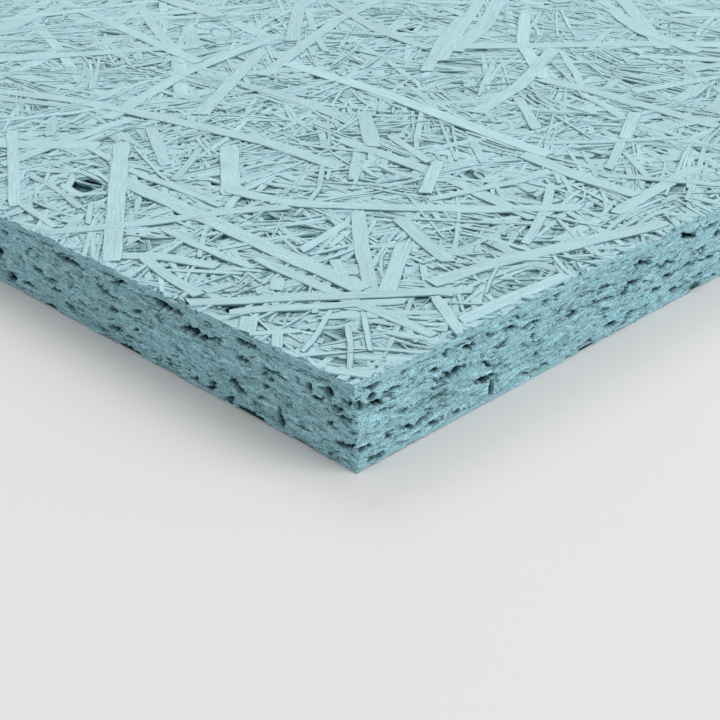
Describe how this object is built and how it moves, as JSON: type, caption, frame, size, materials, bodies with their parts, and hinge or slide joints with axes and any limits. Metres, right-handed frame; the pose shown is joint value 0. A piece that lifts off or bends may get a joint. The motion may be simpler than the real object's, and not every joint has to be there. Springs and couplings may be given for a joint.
{
  "type": "wood wool board",
  "caption": "Flat square panel of pressed wood strands with open, sawn edges, painted pale blue-green, for lining ceilings, walls and facades.",
  "frame": {"origin": "middle of the back, on the plane that the board lies on", "axes": "+Z out of the front face, through the thickness; +X and +Y along the sawn edges"},
  "size_m": [0.6, 0.6, 0.025],
  "materials": {
    "painted_wood_wool": "matt paint over bound wood strands"
  },
  "bodies": {
    "root": {"wood_wool_board": "painted_wood_wool"}
  },
  "joints": []
}
